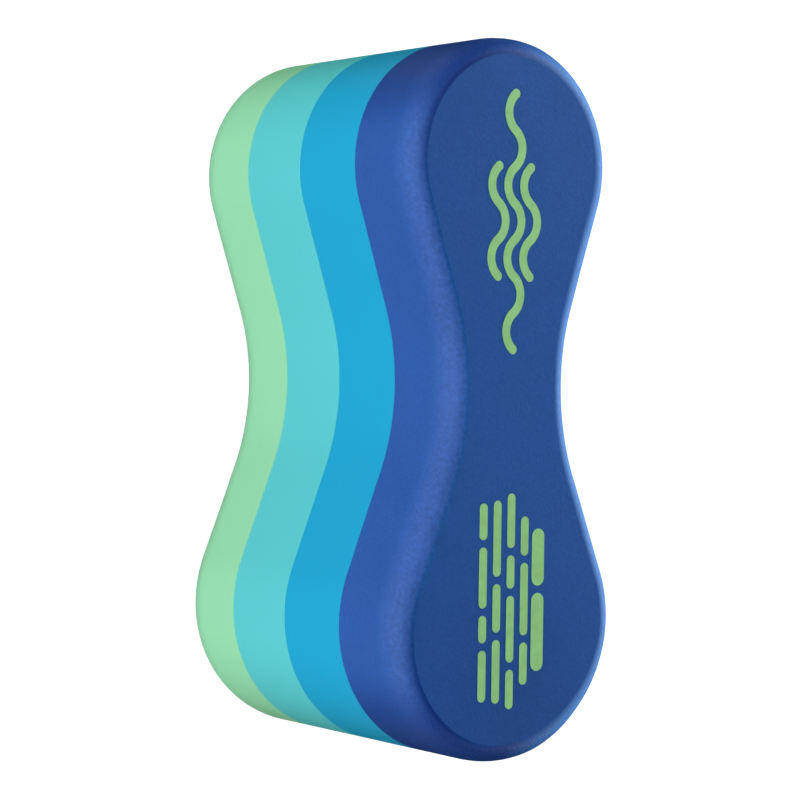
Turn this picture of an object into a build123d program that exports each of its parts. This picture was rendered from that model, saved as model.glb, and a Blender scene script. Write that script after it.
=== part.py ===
from build123d import *
import math
import os

# Pull buoy: four foam layers glued into one block, cut to a two-lobed outline with a thigh recess
# on each side, and printed on the front face.
#
# The buoy lies on its back face, at z = 0. X runs from the large lobe to the small lobe, Y runs
# across the lobes, and Z runs up through the layers. The origin is at the middle of the length.
# All sizes are in millimetres.

# Outline, the same on both sides of the XZ plane
length = 240.0
small_lobe_radius = 42.0
large_lobe_radius = 46.0
waist_half_width = 24.5
waist_radius = 81.0
waist_x = 5.0

# Stack, from the back to the front
layer_colours = ["lime", "aqua", "cyan", "royal"]
stack_height = 128.0
bond_thickness = 0.2
bond_inset = 0.4

# Round-over of the front and back edges: an arc that meets the flat face before it has turned
# a full 90 degrees, so that the face keeps a crisp border
edge_radius = 8.6
edge_turn = 70.0

# Ink on the front face
ink_thickness = 0.12

# Wave print on the small lobe: strokes side by side. The counts of half waves differ by fours,
# so that the strokes swing together and never touch.
wave_stroke = 3.2
wave_height = 2.9
wave_spacing = 6.7
half_wave = 12.0
half_waves_in_row = [3, 7, 3]
wave_print_x = 59.0

# Bar print on the large lobe: rows of round-ended dashes, the first row thicker
bar_print_x = -66.0
first_row_y = -12.0
row_spacing = 5.8
dash_gap = 2.4
first_row_width = 5.2
row_width = 3.2
dash_rows = [
    [19.0, 26.0],
    [13.0, 24.0, 14.0],
    [18.0, 11.0, 22.0, 13.0],
    [25.0, 16.0, 21.0],
    [12.0, 20.0, 9.0, 17.0],
]

layer_count = len(layer_colours)
layer_thickness = (stack_height - (layer_count - 1) * bond_thickness) / layer_count
small_lobe_x = length / 2 - small_lobe_radius
large_lobe_x = large_lobe_radius - length / 2
waist_centre = Vector(waist_x, waist_half_width + waist_radius)


def flank(lobe_x, lobe_radius):
    """Ends of the straight stretch between a lobe's arc and the +Y recess's arc, lobe end first."""
    lobe_centre = Vector(lobe_x, 0)
    to_waist = waist_centre - lobe_centre
    # The stretch is tangent to both circles and passes between them, so its normal leans from
    # the line of centres by the angle whose cosine is the radii's sum over the distance.
    lean = math.acos((lobe_radius + waist_radius) / to_waist.length)
    bearing = math.atan2(to_waist.Y, to_waist.X) + math.copysign(lean, to_waist.X)
    normal = Vector(math.cos(bearing), math.sin(bearing))
    return lobe_centre + normal * lobe_radius, waist_centre - normal * waist_radius


def outline(inset=0.0):
    """The two-lobed face, drawn from the small lobe's tip along +Y and mirrored."""
    small_end, small_waist_end = flank(small_lobe_x, small_lobe_radius)
    large_end, large_waist_end = flank(large_lobe_x, large_lobe_radius)
    small_tip = Vector(length / 2, 0)
    large_tip = Vector(-length / 2, 0)
    waist_bottom = waist_centre - Vector(0, waist_radius)
    half = Wire([
        TangentArc(small_tip, small_end, tangent=(0, 1)).edge(),
        Line(small_end, small_waist_end).edge(),
        ThreePointArc(small_waist_end, waist_bottom, large_waist_end).edge(),
        Line(large_waist_end, large_end).edge(),
        TangentArc(large_tip, large_end, tangent=(0, 1)).edge(),
    ])
    face = make_face([*half.edges(), *half.mirror(Plane.XZ).edges()])
    return offset(face, -inset, kind=Kind.ARC) if inset else face


def plain_layer():
    return extrude(outline(), layer_thickness)


def rounded_layer():
    """A layer with its upper edge rounded over."""
    arc_top = layer_thickness + edge_radius * (1 - math.sin(math.radians(edge_turn)))
    block = extrude(outline(), arc_top)
    rounded = fillet(block.faces().sort_by(Axis.Z)[-1].edges(), edge_radius)
    return split(rounded, Plane.XY.offset(layer_thickness), keep=Keep.BOTTOM)


def bond_film():
    """The glue between two layers, which stops just short of the wall."""
    return extrude(outline(bond_inset), bond_thickness)


def wave(half_waves):
    """A stroke of half waves that swing to either side in turn, centred on the origin."""
    start = -half_waves * half_wave / 2
    arcs = [
        ThreePointArc(
            (start + i * half_wave, 0),
            (start + (i + 0.5) * half_wave, wave_height * (-1) ** i),
            (start + (i + 1) * half_wave, 0),
        ).edge()
        for i in range(half_waves)
    ]
    return SlotArc(Wire(arcs), wave_stroke)


def wave_print():
    middle_row = (len(half_waves_in_row) - 1) / 2
    strokes = []
    for row, half_waves in enumerate(half_waves_in_row):
        place = Location((wave_print_x, (row - middle_row) * wave_spacing, stack_height))
        strokes.append(place * extrude(wave(half_waves), ink_thickness))
    return Compound([stroke.solid() for stroke in strokes])


def bar_print():
    bars = []
    for row, dashes in enumerate(dash_rows):
        width = row_width if row else first_row_width
        row_length = sum(dashes) + dash_gap * (len(dashes) - 1)
        x = bar_print_x + row_length / 2
        for dash in dashes:
            place = Location((x - dash / 2, first_row_y + row * row_spacing, stack_height))
            bars.append(place * extrude(SlotOverall(dash, width), ink_thickness))
            x -= dash + dash_gap
    return Compound([bar.solid() for bar in bars])


def layer_bottom(index):
    return index * (layer_thickness + bond_thickness)


def buoy():
    """Every node's shape by name, in place."""
    nodes = {}
    for index, colour in enumerate(layer_colours):
        bottom = layer_bottom(index)
        if index == 0:
            shape = Pos(0, 0, layer_thickness) * rounded_layer().mirror(Plane.XY)
        elif index == layer_count - 1:
            shape = Pos(0, 0, bottom) * rounded_layer()
        else:
            shape = Pos(0, 0, bottom) * plain_layer()
        nodes[f"{colour}_foam_layer"] = shape
        if index:
            below = layer_colours[index - 1]
            nodes[f"{below}_{colour}_bond_film"] = Pos(0, 0, bottom - bond_thickness) * bond_film()
    nodes["wave_print"] = wave_print()
    nodes["bar_print"] = bar_print()
    return nodes


os.makedirs("parts", exist_ok=True)
for name, shape in buoy().items():
    export_step(shape, f"parts/{name}.step")
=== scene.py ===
import math

import bpy
from mathutils import Matrix, Vector, noise
from mathutils.geometry import delaunay_2d_cdt
from mathutils.kdtree import KDTree


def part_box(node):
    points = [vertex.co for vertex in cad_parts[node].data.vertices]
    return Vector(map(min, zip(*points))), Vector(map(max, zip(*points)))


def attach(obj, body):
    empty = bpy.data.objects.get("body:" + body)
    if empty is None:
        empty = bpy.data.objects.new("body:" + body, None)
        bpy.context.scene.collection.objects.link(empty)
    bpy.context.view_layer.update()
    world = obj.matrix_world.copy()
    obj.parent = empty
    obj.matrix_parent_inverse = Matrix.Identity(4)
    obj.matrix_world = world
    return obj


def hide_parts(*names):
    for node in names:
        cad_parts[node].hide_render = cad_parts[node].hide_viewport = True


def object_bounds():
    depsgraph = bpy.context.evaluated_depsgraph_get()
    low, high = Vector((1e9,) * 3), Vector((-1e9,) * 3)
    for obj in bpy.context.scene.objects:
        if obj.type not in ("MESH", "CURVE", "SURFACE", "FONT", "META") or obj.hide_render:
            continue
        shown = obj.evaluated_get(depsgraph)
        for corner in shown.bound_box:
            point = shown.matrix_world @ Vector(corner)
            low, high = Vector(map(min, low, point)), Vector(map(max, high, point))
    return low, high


# Pull buoy. X runs along the length towards the small lobe, Y across the lobes, and Z up through
# the four foam layers to the printed face. Metres.

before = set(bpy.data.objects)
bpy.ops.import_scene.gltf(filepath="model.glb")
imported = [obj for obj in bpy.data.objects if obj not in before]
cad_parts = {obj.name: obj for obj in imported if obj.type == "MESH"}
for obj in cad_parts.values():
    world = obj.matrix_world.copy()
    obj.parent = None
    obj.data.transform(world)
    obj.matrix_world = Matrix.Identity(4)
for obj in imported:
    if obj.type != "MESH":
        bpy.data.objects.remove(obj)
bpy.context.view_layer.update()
MM = 0.001
COLOURS = ["lime", "aqua", "cyan", "royal"]    # from the back up to the printed layer

# ------------------------------------------------------------------ outline, as in the CAD source

SMALL_LOBE_RADIUS = 42 * MM
LARGE_LOBE_RADIUS = 46 * MM
WAIST_HALF_WIDTH = 24.5 * MM
WAIST_RADIUS = 81 * MM
WAIST_X = 5 * MM
HALF_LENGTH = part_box("aqua_foam_layer")[1].x
FACE_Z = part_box("royal_foam_layer")[1].z
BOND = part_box("aqua_foam_layer")[0].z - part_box("lime_foam_layer")[1].z

# ------------------------------------------------------------------ round-over, worked by hand

# On the -Y side it is one even arc, larger round the small lobe and at the large lobe's tip.
EVEN_RADIUS = 6.6 * MM
EVEN_SMALL_LOBE_RADIUS, LOBE_BLEND = 7.6 * MM, 35 * MM
EVEN_LARGE_TIP_RADIUS, LARGE_TIP_X, TIP_BLEND = 8.2 * MM, 80 * MM, 26 * MM
# On the +Y side a long lead-in and a tighter arc stop short in a crease.
LEAD_RADIUS, LEAD_TURN = 18 * MM, math.radians(28)
TIGHT_RADIUS = 6.0 * MM
CREASE_TURN = math.radians(76)
# The +Y round-over is widest along the waist: a shorter lead-in that turns further.
WIDE_X, WIDE_REACH = -25 * MM, 50 * MM
WIDE_LEAD_RADIUS, WIDE_LEAD_TURN = 15.5 * MM, math.radians(40)
WIDE_TIGHT_RADIUS = 6.5 * MM
# On the -Y side, and on one +Y shoulder of the large lobe, it runs out smoothly.
SMOOTH_TURN = math.radians(87)
SOFT_SHOULDER, SOFT_REACH = Vector((-50 * MM, 40 * MM)), 34 * MM
# Its border with the flat face is a tight bend.
BORDER_RADIUS = 0.6 * MM
# How fast the one side's round-over changes into the other's as the outline turns at the ends.
SIDE_CHANGE = 1.5

# ------------------------------------------------------------------ painted shade and light, and sanded grain

# Spots of painted shade: (place, reach, how dark in the crease, how dark on the face).
PAINTED_SHADE_SPOTS = [
    (Vector((110 * MM, 27 * MM)), 45 * MM, 0.85, 0.08),
    (Vector((-103 * MM, 30 * MM)), 31 * MM, 0.85, 0.0),
    (Vector((-108 * MM, 0 * MM)), 42 * MM, 0.0, 0.28),
]
# Painted shade along the crease: how far it reaches from the border, how much wider it grows near the
# spots, and how dark it is on the tight bend at the border.
SHADE_REACH, SHADE_WIDENING = 1.8 * MM, 1.5 * MM
BORDER_SHADE = 0.7
# The wall is painted darker round the two ends, mostly on the +Y side: painted shade.
END_X, END_REACH = 86 * MM, 22 * MM
SMALL_END_SHADE, LARGE_END_SHADE = 0.54, 0.56
# The colour that the painted shade darkens towards.
PAINTED_SHADE_COLOUR = (0.002, 0.019, 0.205, 1.0)
# The round-over is painted lighter on the -Y side, a painted rim light: fully so from one inset
# on, then fading out to a little past its border with the face.
RIM_LIGHT_FROM, RIM_LIGHT_PAST, RIM_LIGHT_FADE = 1.6 * MM, 0.3 * MM, 4.2 * MM
RIM_LIGHT_COLOUR = (0.03, 0.245, 0.70, 1.0)
# On the +Y side the round-over is sanded rough, with more mottle and, on the printed layer, a painted
# highlight tint; fully so from this inset on.
RUB_AND_HIGHLIGHT_INSET = 1.2 * MM

# ------------------------------------------------------------------ mesh detail

WALL_STEP = 1.0 * MM
FACE_STEP = 1.6 * MM
HIDDEN_STEP = 9.0 * MM
WALL_ROWS = 28
LEAD_STEPS, ARC_STEPS, BORDER_STEPS, SEAM_STEPS = 6, 12, 4, 3
FACE_RINGS = (0.0, 0.3 * MM, 0.8 * MM, 1.7 * MM)
# The foam closes over the glue at each seam.
SEAM_RADIUS = 0.1 * MM
LIP = 0.3 * MM
# Relief: (height, waves to a metre).
WAVINESS = (0.05 * MM, 60)
FINE_WAVES = (0.02 * MM, 400)
SHARP_ANGLE = math.radians(50)
SAME_POINT = 1e-9


def clamp(share):
    return min(1.0, max(0.0, share))


def blend(first, second, share):
    return first + (second - first) * share


def unit(angle):
    return Vector((math.cos(angle), math.sin(angle)))


def spread(start, end, step):
    """Numbers from start towards end, about a step apart. The end itself is left out."""
    count = max(1, round(abs(end - start) / step))
    return [start + (end - start) * i / count for i in range(count)]


def flank_angle(lobe_x, lobe_radius):
    """The direction of the normal of the straight stretch between a lobe and the +Y recess."""
    to_waist = Vector((WAIST_X - lobe_x, WAIST_HALF_WIDTH + WAIST_RADIUS))
    lean = math.acos((lobe_radius + WAIST_RADIUS) / to_waist.length)
    return math.atan2(to_waist.y, to_waist.x) + math.copysign(lean, to_waist.x)


def arc(centre, radius, start, end):
    """(point, outward normal) along an arc. A negative radius bends the outline inwards."""
    return [(centre + unit(a) * radius, unit(a)) for a in spread(start, end, WALL_STEP / abs(radius))]


def straight(start, end, normal):
    length = (end - start).length
    return [(start.lerp(end, s / length), normal) for s in spread(0, length, WALL_STEP)]


def outline():
    """(point, outward normal) all the way round, anticlockwise from the small lobe's tip."""
    small = Vector((HALF_LENGTH - SMALL_LOBE_RADIUS, 0))
    large = Vector((LARGE_LOBE_RADIUS - HALF_LENGTH, 0))
    waist = Vector((WAIST_X, WAIST_HALF_WIDTH + WAIST_RADIUS))
    turn_in = flank_angle(small.x, SMALL_LOBE_RADIUS)
    turn_out = flank_angle(large.x, LARGE_LOBE_RADIUS)
    half = arc(small, SMALL_LOBE_RADIUS, 0, turn_in)
    half += straight(small + unit(turn_in) * SMALL_LOBE_RADIUS,
                     waist - unit(turn_in) * WAIST_RADIUS, unit(turn_in))
    half += arc(waist, -WAIST_RADIUS, turn_in, turn_out)
    half += straight(waist - unit(turn_out) * WAIST_RADIUS,
                     large + unit(turn_out) * LARGE_LOBE_RADIUS, unit(turn_out))
    half += arc(large, LARGE_LOBE_RADIUS, turn_out, math.pi)
    tip = [(Vector((-HALF_LENGTH, 0)), unit(math.pi))]
    mirrored = [(Vector((p.x, -p.y)), Vector((n.x, -n.y))) for p, n in reversed(half[1:])]
    return half + tip + mirrored


OUTLINE = outline()

# ------------------------------------------------------------------ shape of the round-over


def near_side(normal, at_tip=0.5):
    """0 on the -Y side and 1 on the +Y side, with an even change round the ends."""
    return clamp(at_tip + SIDE_CHANGE * normal.y)


def painted_shade(at):
    """How dark the painted shade is at a point, in the crease and on the face."""
    near = [math.exp(-((at - spot).length / reach) ** 2) for spot, reach, *_ in PAINTED_SHADE_SPOTS]
    return (sum(n * crease for n, (*_, crease, _) in zip(near, PAINTED_SHADE_SPOTS)),
            sum(n * face for n, (*_, face) in zip(near, PAINTED_SHADE_SPOTS)))


def edge_shape(at, normal):
    """(lead-in radius and turn, arc radius, turn at the border, reach of the painted crease shade) of
    the round-over at an outline point."""
    side = near_side(normal)
    away = (at - SOFT_SHOULDER).length / SOFT_REACH
    crease = side * (1 - math.exp(-away * away))
    wide = math.exp(-((at.x - WIDE_X) / WIDE_REACH) ** 2)
    even = blend(EVEN_RADIUS, EVEN_SMALL_LOBE_RADIUS, clamp((at.x - WAIST_X) / LOBE_BLEND))
    even = blend(even, EVEN_LARGE_TIP_RADIUS, clamp((-at.x - LARGE_TIP_X) / TIP_BLEND))
    return (blend(even, blend(LEAD_RADIUS, WIDE_LEAD_RADIUS, wide), side),
            blend(LEAD_TURN, WIDE_LEAD_TURN, wide),
            blend(even, blend(TIGHT_RADIUS, WIDE_TIGHT_RADIUS, wide), side),
            blend(SMOOTH_TURN, CREASE_TURN, crease),
            SHADE_REACH + SHADE_WIDENING * painted_shade(at)[0])


# ------------------------------------------------------------------ profile of a layer
# A profile is a list of (inset, height, relief, shade): how far in from the wall, at what height,
# how much of the surface relief it takes, and how much of the painted crease shade it takes. On
# the flat face, shade is ON_FACE instead.
ON_FACE = -1.0


def rounded_end(face, up, shape):
    """From the wall to a flat outer face: the lead-in, the arc, then the tight bend at the
    border."""
    lead_radius, lead_turn, radius, turned, shade_reach = shape
    profile = []
    inset = height = before = 0.0
    turns = spread(0, lead_turn, lead_turn / LEAD_STEPS)
    turns += spread(lead_turn, turned, (turned - lead_turn) / ARC_STEPS)
    for number, turn in enumerate(turns + [turned]):
        bend = lead_radius if number <= LEAD_STEPS else radius
        inset += bend * (math.cos(before) - math.cos(turn))
        height += bend * (math.sin(turn) - math.sin(before))
        before = turn
        profile.append((inset, height, radius * (turned - turn)))
    border, rise, _ = profile.pop()
    profile = [(inset, face - up * (rise - height), 1.0, math.exp(-(away / shade_reach) ** 2))
               for inset, height, away in profile]
    tangent = BORDER_RADIUS * math.tan((math.pi / 2 - turned) / 2)
    for turn in spread(turned, math.pi / 2, (math.pi / 2 - turned) / BORDER_STEPS):
        inset = border + tangent - BORDER_RADIUS * math.cos(turn)
        profile.append((inset, face - up * BORDER_RADIUS * (1 - math.sin(turn)), 1.0, BORDER_SHADE))
    for past in FACE_RINGS:
        profile.append((border + tangent + past, face, 1.0, ON_FACE))
    return profile


def seam_end(bond_face, up):
    """From the wall to a glued face: a small bend at mid glue, then in over the edge of the glue."""
    seam = bond_face + up * BOND / 2
    profile = []
    for turn in spread(0, math.pi / 2, math.pi / 2 / SEAM_STEPS):
        inset = SEAM_RADIUS * (1 - math.cos(turn))
        profile.append((inset, seam - up * SEAM_RADIUS * (1 - math.sin(turn)), 1.0, 0.0))
    profile.append((SEAM_RADIUS, seam, 1.0, 0.0))
    profile.append((LIP, seam, 0.0, 0.0))
    profile.append((LIP + BOND / 2, bond_face, 0.0, 0.0))
    return profile


def layer_profile(index, low, high, shape):
    """From a layer's lower face, up its wall, to its upper face."""
    lower = rounded_end(low, -1, shape) if index == 0 else seam_end(low, -1)
    upper = rounded_end(high, 1, shape) if index == len(COLOURS) - 1 else seam_end(high, 1)
    height = upper[0][1] - lower[0][1]
    wall = [(0.0, z, 1.0, 0.0) for z in spread(lower[0][1], upper[0][1], height / WALL_ROWS)[1:]]
    return lower[::-1] + wall + upper


def profile_slopes(profile):
    """For each step of a profile, the outward and upward parts of its normal."""
    slopes = []
    for i in range(len(profile)):
        before, after = profile[max(i - 1, 0)], profile[min(i + 1, len(profile) - 1)]
        slopes.append(Vector((after[1] - before[1], after[0] - before[0])).normalized())
    return slopes


# ------------------------------------------------------------------ tones at a point: painted shade, sanded grain with a painted highlight, painted rim light


def end_shade(at, normal):
    """How dark the painted shade on the printed layer's wall is at an outline point."""
    share = clamp((abs(at.x) - END_X) / END_REACH)
    depth = (SMALL_END_SHADE * near_side(normal) if at.x > 0 else
             LARGE_END_SHADE * near_side(normal, 1.0))
    return depth * share * share * (3 - 2 * share)


# Point attributes: painted shade; sanded grain with a painted highlight; painted rim light.
TONES = ("painted_shade", "rubbed_and_highlight", "painted_rim_light")


def face_tones(point, printed):
    """The three tones at a point of a flat face: painted shade only."""
    return painted_shade(point.xy)[1] * printed, 0.0, 0.0


def edge_tones(at, normal, profile, step, printed):
    """The three tones at a step of the profile that stands on an outline point. Every layer gets
    the sanded-rough mask, and only the printed one gets painted shade or the painted rim light."""
    inset, _, share, depth = profile[step]
    to_face = profile[-1][0] - FACE_RINGS[-1] + RIM_LIGHT_PAST - inset
    rim_light_share = min(1.0, inset / RIM_LIGHT_FROM, max(0.0, to_face / RIM_LIGHT_FADE))
    return (max(depth * painted_shade(at)[0], end_shade(at, normal)) * printed,
            near_side(normal) * min(1.0, inset / RUB_AND_HIGHLIGHT_INSET) * share,
            rim_light_share * (1 - near_side(normal, 1.0)) * share * printed)


# ------------------------------------------------------------------ mesh of a layer


def hexagonal_points(loop, step):
    """Points of an even grid inside a loop, at least half a step from it."""
    edge = KDTree(len(loop))
    for i, point in enumerate(loop):
        edge.insert((point.x, point.y, 0), i)
    edge.balance()
    rows = spread(-LARGE_LOBE_RADIUS, LARGE_LOBE_RADIUS, step * math.sqrt(0.75))
    points = []
    for row, y in enumerate(rows):
        crossings = sorted(
            a.x + (b.x - a.x) * (y - a.y) / (b.y - a.y)
            for a, b in zip(loop, loop[1:] + loop[:1])
            if (a.y > y) != (b.y > y)
        )
        for start, end in zip(crossings[::2], crossings[1::2]):
            first = math.ceil(start / step) + row % 2 / 2
            for column in range(int((end - start) / step) + 1):
                x = (first + column) * step
                if x < end and edge.find((x, y, 0))[2] > step / 2:
                    points.append(Vector((x, y)))
    return points


def fill(loop, step):
    """(grid points, triangles) of the flat face inside a loop. Triangles count the loop first."""
    flat = [Vector((p.x, p.y)) for p in loop]
    inner = hexagonal_points(flat, step)
    edges = [(i, (i + 1) % len(flat)) for i in range(len(flat))]
    points, _, triangles, *_ = delaunay_2d_cdt(flat + inner, edges, [], 1, SAME_POINT)
    return [Vector((p.x, p.y, loop[0].z)) for p in points[len(flat):]], triangles


def relief(point):
    """How far the foam stands proud of its nominal surface: slow waviness and a fine grain."""
    return sum(height * noise.noise(point * waves) for height, waves in (WAVINESS, FINE_WAVES))


def ring_faces(around, rings):
    """Four-sided faces between each ring of points and the next."""
    faces = []
    for step in range(rings - 1):
        here, above = step * around, (step + 1) * around
        for i in range(around):
            j = (i + 1) % around
            faces.append((here + i, here + j, above + j, above + i))
    return faces


def layer_mesh(colour, index):
    """One foam layer. Its tones, painted shade and light among them, are point attributes, which its
    material reads.
    """
    low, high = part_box(f"{colour}_foam_layer")
    printed = index == len(COLOURS) - 1
    profiles = [layer_profile(index, low.z, high.z, edge_shape(at, normal))
                for at, normal in OUTLINE]
    slopes = [profile_slopes(profile) for profile in profiles]
    around, rings = len(OUTLINE), len(profiles[0])
    points, tones = [], []
    for step in range(rings):
        for (at, normal), profile, slope in zip(OUTLINE, profiles, slopes):
            inset, z, share, depth = profile[step]
            point = Vector((*(at - normal * inset), z))
            outward = Vector((*(normal * slope[step].x), slope[step].y))
            points.append(point + outward * relief(point) * share)
            tones.append(face_tones(point, printed) if depth == ON_FACE else
                         edge_tones(at, normal, profile, step, printed))
    faces = ring_faces(around, rings)
    for end, up in ((0, -1), (rings - 1, 1)):
        outer_face = index == (0 if up < 0 else len(COLOURS) - 1)
        loop = [Vector((*(at - normal * profile[end][0]), profile[end][1]))
                for (at, normal), profile in zip(OUTLINE, profiles)]
        inner, triangles = fill(loop, FACE_STEP if outer_face else HIDDEN_STEP)
        base, first_inner = end * around, len(points)
        for point in inner:
            points.append(point + Vector((0, 0, up)) * relief(point) * outer_face)
            tones.append(face_tones(point, outer_face and printed))
        for triangle in triangles:
            corners = [base + c if c < around else first_inner + c - around for c in triangle]
            faces.append(corners if up > 0 else corners[::-1])
    mesh = bpy.data.meshes.new(f"{colour}_foam")
    mesh.from_pydata(points, [], faces)
    mesh.validate()
    for name, values in zip(TONES, zip(*tones)):
        mesh.attributes.new(name, "FLOAT", "POINT").data.foreach_set("value", values)
    mesh.shade_smooth()
    mesh.set_sharp_from_angle(angle=SHARP_ANGLE)
    return mesh


# ------------------------------------------------------------------ materials


class Nodes:
    """A material with a Principled shader, and short calls that add nodes to it."""

    def __init__(self, name):
        self.material = bpy.data.materials.new(name)
        self.material.use_nodes = True
        self.tree = self.material.node_tree
        self.shader = next(n for n in self.tree.nodes if n.type == "BSDF_PRINCIPLED")
        self.place = self.add("ShaderNodeTexCoord").outputs["Object"]

    def add(self, kind, **settings):
        node = self.tree.nodes.new(kind)
        for key, value in settings.items():
            setattr(node, key, value)
        return node

    def feed(self, socket, value):
        if isinstance(value, bpy.types.NodeSocket):
            self.tree.links.new(value, socket)
        else:
            socket.default_value = value

    def noise(self, scale, detail=2.0, roughness=0.5, offset=0.0):
        node = self.add("ShaderNodeTexNoise", noise_dimensions="4D")
        self.feed(node.inputs["Vector"], self.place)
        self.feed(node.inputs["W"], offset)
        self.feed(node.inputs["Scale"], scale)
        self.feed(node.inputs["Detail"], detail)
        self.feed(node.inputs["Roughness"], roughness)
        return node.outputs["Fac"]

    def cells(self, scale):
        node = self.add("ShaderNodeTexVoronoi", feature="F1")
        self.feed(node.inputs["Vector"], self.place)
        self.feed(node.inputs["Scale"], scale)
        return node.outputs["Distance"]

    def attribute(self, name):
        return self.add("ShaderNodeAttribute", attribute_name=name).outputs["Fac"]

    def remap(self, value, low, high, to_low=0.0, to_high=1.0):
        node = self.add("ShaderNodeMapRange", clamp=True)
        for socket, given in zip(node.inputs, (value, low, high, to_low, to_high)):
            self.feed(socket, given)
        return node.outputs["Result"]

    def math(self, operation, first, second):
        node = self.add("ShaderNodeMath", operation=operation)
        self.feed(node.inputs[0], first)
        self.feed(node.inputs[1], second)
        return node.outputs[0]

    def mix(self, share, first, second, blend_type="MIX"):
        node = self.add("ShaderNodeMix", data_type="RGBA", blend_type=blend_type)
        sockets = {s.identifier: s for s in node.inputs}
        self.feed(sockets["Factor_Float"], share)
        self.feed(sockets["A_Color"], first)
        self.feed(sockets["B_Color"], second)
        return next(s for s in node.outputs if s.identifier == "Result_Color")

    def bump(self, height, distance, strength, under=None):
        node = self.add("ShaderNodeBump")
        self.feed(node.inputs["Height"], height)
        self.feed(node.inputs["Distance"], distance)
        self.feed(node.inputs["Strength"], strength)
        if under:
            self.feed(node.inputs["Normal"], under)
        return node.outputs["Normal"]


def shade(colour, factor=1.0):
    return (*(min(1.0, c * factor) for c in colour), 1.0)


# Texture scales are in features to a metre, roughly.
BLOTCH_SCALE, SPECKLE_SCALE = 45, 760
PORE_SCALE, PORE_PATCH_SCALE = 420, 130
GRAIN_SCALE, FINE_GRAIN_SCALE = 1100, 2600
GRAIN_HEIGHT, FINE_GRAIN_HEIGHT, PORE_DEPTH = 0.28 * MM, 0.19 * MM, 0.2 * MM
BLOTCH_SHARE = 0.3
# Only some parts of the foam show pores, and each pore is darker than the wall.
PORE_PATCHES = (0.62, 0.7)
PORE_EDGE = (0.04, 0.12)
PORE_SHADE, PORE_SHARE, PORE_STRENGTH = 0.6, 0.5, 0.5
FOAM_ROUGHNESS = (0.44, 0.54)
FOAM_SPECULAR = 0.165
UNRUBBED_MOTTLE = 0.5
MIDDLE_HALF = (0.3, 0.7)    # the range that a noise texture mostly keeps to


def foam_material(name, wall, mottle, grain, face=None, face_grain=None, painted_highlight_tint=(1, 1, 1)):
    """Closed-cell foam: blotches, fine mottling, sparse pores and a sanded grain. The moulded face
    may have its own colour and grain; a painted highlight tints the sanded-rough edge."""
    face, face_grain = face or wall, face_grain or grain
    m = Nodes(name)
    height = m.add("ShaderNodeSeparateXYZ")
    m.feed(height.inputs[0], m.place)
    on_face = m.remap(height.outputs["Z"], FACE_Z - 0.5 * MM, FACE_Z - 0.1 * MM)
    blotch = m.remap(m.noise(BLOTCH_SCALE, 3.0), *MIDDLE_HALF)
    speckle = m.remap(m.noise(SPECKLE_SCALE, 3.0, 0.6), *MIDDLE_HALF)
    dark = m.mix(on_face, shade(wall, 1 - mottle), shade(face, 1 - mottle))
    light = m.mix(on_face, shade(wall, 1 + mottle), shade(face, 1 + mottle))
    uneven = m.math("ADD", m.math("MULTIPLY", blotch, BLOTCH_SHARE),
                    m.math("MULTIPLY", speckle, 1 - BLOTCH_SHARE))
    rubbed_and_highlight = m.attribute("rubbed_and_highlight")
    swing = m.math("MULTIPLY", m.math("SUBTRACT", uneven, 0.5),
                   m.remap(rubbed_and_highlight, 0, 1, UNRUBBED_MOTTLE, 1.0))
    tone = m.mix(m.math("ADD", swing, 0.5), dark, light)
    # Painted highlight: the sanded-rough edge is tinted lighter and greyer.
    tone = m.mix(rubbed_and_highlight, tone, (*painted_highlight_tint, 1.0), "MULTIPLY")
    pore = m.remap(m.cells(PORE_SCALE), *PORE_EDGE, 1.0, 0.0)
    sparse = m.remap(m.noise(PORE_PATCH_SCALE, 1.0, offset=3.0), *PORE_PATCHES)
    pore = m.math("MULTIPLY", pore, sparse)
    tone = m.mix(m.math("MULTIPLY", pore, PORE_SHARE), tone, shade(wall, PORE_SHADE))
    # Painted shade: in the crease, round the ends and on the face near the ends.
    tone = m.mix(m.attribute("painted_shade"), tone, PAINTED_SHADE_COLOUR)
    # Painted rim light on the -Y round-over.
    tone = m.mix(m.attribute("painted_rim_light"), tone, RIM_LIGHT_COLOUR)
    m.feed(m.shader.inputs["Base Color"], tone)
    m.feed(m.shader.inputs["Roughness"], m.remap(speckle, 0.0, 1.0, *FOAM_ROUGHNESS))
    m.feed(m.shader.inputs["Specular IOR Level"], FOAM_SPECULAR)
    strength = m.remap(on_face, 0.0, 1.0, grain, face_grain)
    normal = m.bump(m.noise(GRAIN_SCALE, 2.0, 0.6), GRAIN_HEIGHT, strength)
    normal = m.bump(m.noise(FINE_GRAIN_SCALE, 1.0, offset=5.0), FINE_GRAIN_HEIGHT, strength, normal)
    normal = m.bump(m.math("MULTIPLY", pore, -1.0), PORE_DEPTH, PORE_STRENGTH, normal)
    m.feed(m.shader.inputs["Normal"], normal)
    return m.material


INK_COLOUR = (0.35, 0.73, 0.255)
GLUE_DARK, GLUE_LIGHT = (0.42, 0.47, 0.45), (0.62, 0.66, 0.63)


def ink_material():
    """Matte transfer ink that shows the foam's grain and is a little uneven."""
    m = Nodes("lime_ink")
    cover = m.remap(m.noise(260, 3.0), 0.35, 0.65)
    m.feed(m.shader.inputs["Base Color"],
           m.mix(cover, shade(INK_COLOUR, 0.93), shade(INK_COLOUR, 1.04)))
    m.feed(m.shader.inputs["Roughness"], m.remap(cover, 0.0, 1.0, 0.5, 0.6))
    m.feed(m.shader.inputs["Normal"], m.bump(m.noise(1900, 2.0), 0.03 * MM, 0.3))
    return m.material


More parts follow.
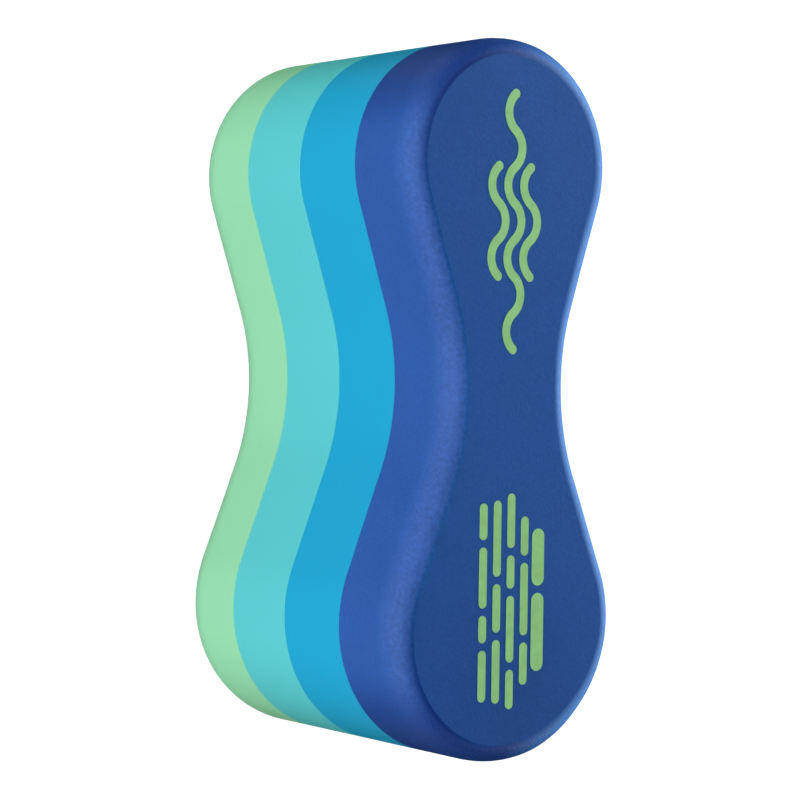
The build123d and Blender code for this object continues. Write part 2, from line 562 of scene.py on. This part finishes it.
def glue_material():
    """Dried contact glue: cloudy, with brushed streaks."""
    m = Nodes("bond_glue")
    streak = m.noise(210, 4.0)
    m.feed(m.shader.inputs["Base Color"], m.mix(streak, shade(GLUE_DARK), shade(GLUE_LIGHT)))
    m.feed(m.shader.inputs["Roughness"], m.remap(streak, *MIDDLE_HALF, 0.35, 0.6))
    m.feed(m.shader.inputs["Normal"], m.bump(streak, 0.05 * MM, 0.4))
    return m.material


def put_on(obj, material):
    obj.data.materials.clear()
    obj.data.materials.append(material)


# ------------------------------------------------------------------ the buoy

FOAMS = {
    "lime": dict(wall=(0.32, 0.75, 0.455), mottle=0.025, grain=0.07),
    "aqua": dict(wall=(0.11, 0.62, 0.66), mottle=0.025, grain=0.07),
    "cyan": dict(wall=(0.016, 0.396, 0.68), mottle=0.04, grain=0.12),
    "royal": dict(wall=(0.030, 0.111, 0.425), mottle=0.26, grain=0.85,
                  face=(0.010, 0.096, 0.385), face_grain=0.24, painted_highlight_tint=(1.28, 1.09, 1.04)),
}

for index, colour in enumerate(COLOURS):
    layer = bpy.data.objects.new(f"{colour}_foam", layer_mesh(colour, index))
    bpy.context.scene.collection.objects.link(layer)
    put_on(layer, foam_material(f"{colour}_foam", **FOAMS[colour]))
    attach(layer, "root")
    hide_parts(f"{colour}_foam_layer")

ink = ink_material()
glue = glue_material()
for name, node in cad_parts.items():
    if name.endswith("_print"):
        put_on(node, ink)
    elif name.endswith("_bond_film"):
        put_on(node, glue)

# ------------------------------------------------------------------ floor and backdrop

FLOOR_REACH = 12.0
FLOOR_GREY, FLOOR_GLOW = 0.25, 0.93

low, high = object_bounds()
middle = (low + high) / 2

floor_mesh = bpy.data.meshes.new("floor")
corners = [(-1, -1), (1, -1), (1, 1), (-1, 1)]
floor_mesh.from_pydata([(x * FLOOR_REACH, y * FLOOR_REACH, low.z) for x, y in corners],
                       [], [(0, 1, 2, 3)])
floor = bpy.data.objects.new("floor", floor_mesh)
bpy.context.scene.collection.objects.link(floor)
pale = Nodes("pale_floor")
pale.feed(pale.shader.inputs["Base Color"], (FLOOR_GREY, FLOOR_GREY, FLOOR_GREY, 1))
pale.feed(pale.shader.inputs["Roughness"], 0.9)
pale.feed(pale.shader.inputs["Emission Color"], (1, 1, 1, 1))
pale.feed(pale.shader.inputs["Emission Strength"], FLOOR_GLOW)
put_on(floor, pale.material)
floor.visible_diffuse = False      # a white floor that throws no light up on the foam
floor.visible_glossy = False

world = bpy.data.worlds.new("studio")
bpy.context.scene.world = world
world.use_nodes = True
world.node_tree.nodes["Background"].inputs["Color"].default_value = (1, 1, 1, 1)
world.node_tree.nodes["Background"].inputs["Strength"].default_value = 1.0
world.cycles_visibility.diffuse = False
world.cycles_visibility.glossy = False

# ------------------------------------------------------------------ light

BOX_DISTANCE, BOX_SIDE = 1.3, 0.40
BOUNCE_DISTANCE, BOUNCE_SIDE = 0.24, 0.08
WHITE, WARM, COOL, BOUNCED = (1, 1, 1), (1.0, 0.97, 0.85), (0.65, 0.94, 1.0), (0.80, 1.0, 0.78)


def softbox(name, round_length, along_length, power, wide=BOX_SIDE, tall=BOX_SIDE,
            distance=BOX_DISTANCE, tint=WHITE):
    """A soft box turned square on to the buoy. Its place is an angle round the length, from
    the face towards +Y, and an angle up from there towards +X."""
    data = bpy.data.lights.new(name, "AREA")
    data.shape = "RECTANGLE"
    data.size, data.size_y = wide, tall
    data.energy = power
    data.color = tint
    light = bpy.data.objects.new(name, data)
    light.visible_camera = False
    bpy.context.scene.collection.objects.link(light)
    turn, rise = math.radians(round_length), math.radians(along_length)
    towards = Vector((math.sin(rise), math.cos(rise) * math.sin(turn),
                      math.cos(rise) * math.cos(turn)))
    across = Vector((1, 0, 0)).cross(towards).normalized()
    turned = Matrix((across, towards.cross(across), towards)).transposed()
    light.matrix_world = Matrix.Translation(middle + towards * distance) @ turned.to_4x4()


def bounce(name, round_length, along_length, power):
    """A small, weak green light close to an end and a little behind it."""
    softbox(name, round_length, along_length, power, BOUNCE_SIDE, BOUNCE_SIDE, BOUNCE_DISTANCE,
            BOUNCED)


softbox("left_box_low", 86.5, -30, 5.6)
softbox("left_box_mid", 86.5, 0, 5.5)
softbox("left_box_high", 86.5, 25, 4.2)
softbox("left_fill", 64, 10, 4.1, tall=0.80)
softbox("front_fill", 41, 5, 1.1)
softbox("front_box", -12, 15, 2.0)
softbox("end_fill", 80, -65, 1.2, tint=WARM)
softbox("right_box_high", -73, 25, 8.6, wide=0.75)
softbox("right_box_mid", -77, -4, 6.0, wide=0.50)
softbox("right_box_low", -73, -28, 5.0, wide=0.70)
softbox("right_front", -43, 28, 3.1, tint=COOL)
softbox("right_strip", -91, 15, 3.0, wide=0.12, tall=0.90)
bounce("bounce_high", 130, 75, 0.045)
bounce("bounce_low", 130, -75, 0.020)

# ------------------------------------------------------------------ camera

# The view looks at the face from the +Y side, with the length upright. Its turns are in radians.
# The camera's place is measured from the middle of the face, in the view's own axes.
VIEW_YAW, VIEW_PITCH, VIEW_ROLL = 0.6373, 0.0190, -0.0135
FACE_TO_VIEW = Vector((36.83 * MM, -0.40 * MM, -827.5 * MM))
LENS_TO_SENSOR = 3.14375

turned = Matrix.Rotation(VIEW_ROLL, 4, "Z") @ Matrix.Rotation(VIEW_PITCH, 4, "X") @ (
    Matrix.Rotation(VIEW_YAW, 4, "Y"))
upright = Matrix(((0, -1, 0, 0), (1, 0, 0, 0), (0, 0, 1, 0), (0, 0, 0, 1)))
face_middle = Vector((middle.x, middle.y, FACE_Z))
to_view = Matrix.Translation(FACE_TO_VIEW) @ turned @ upright @ Matrix.Translation(-face_middle)
lens = bpy.data.cameras.new("camera")
lens.lens = LENS_TO_SENSOR * lens.sensor_width
camera = bpy.data.objects.new("camera", lens)
camera.matrix_world = to_view.inverted()
bpy.context.scene.collection.objects.link(camera)
bpy.context.scene.camera = camera

bpy.context.scene.view_settings.view_transform = "Standard"
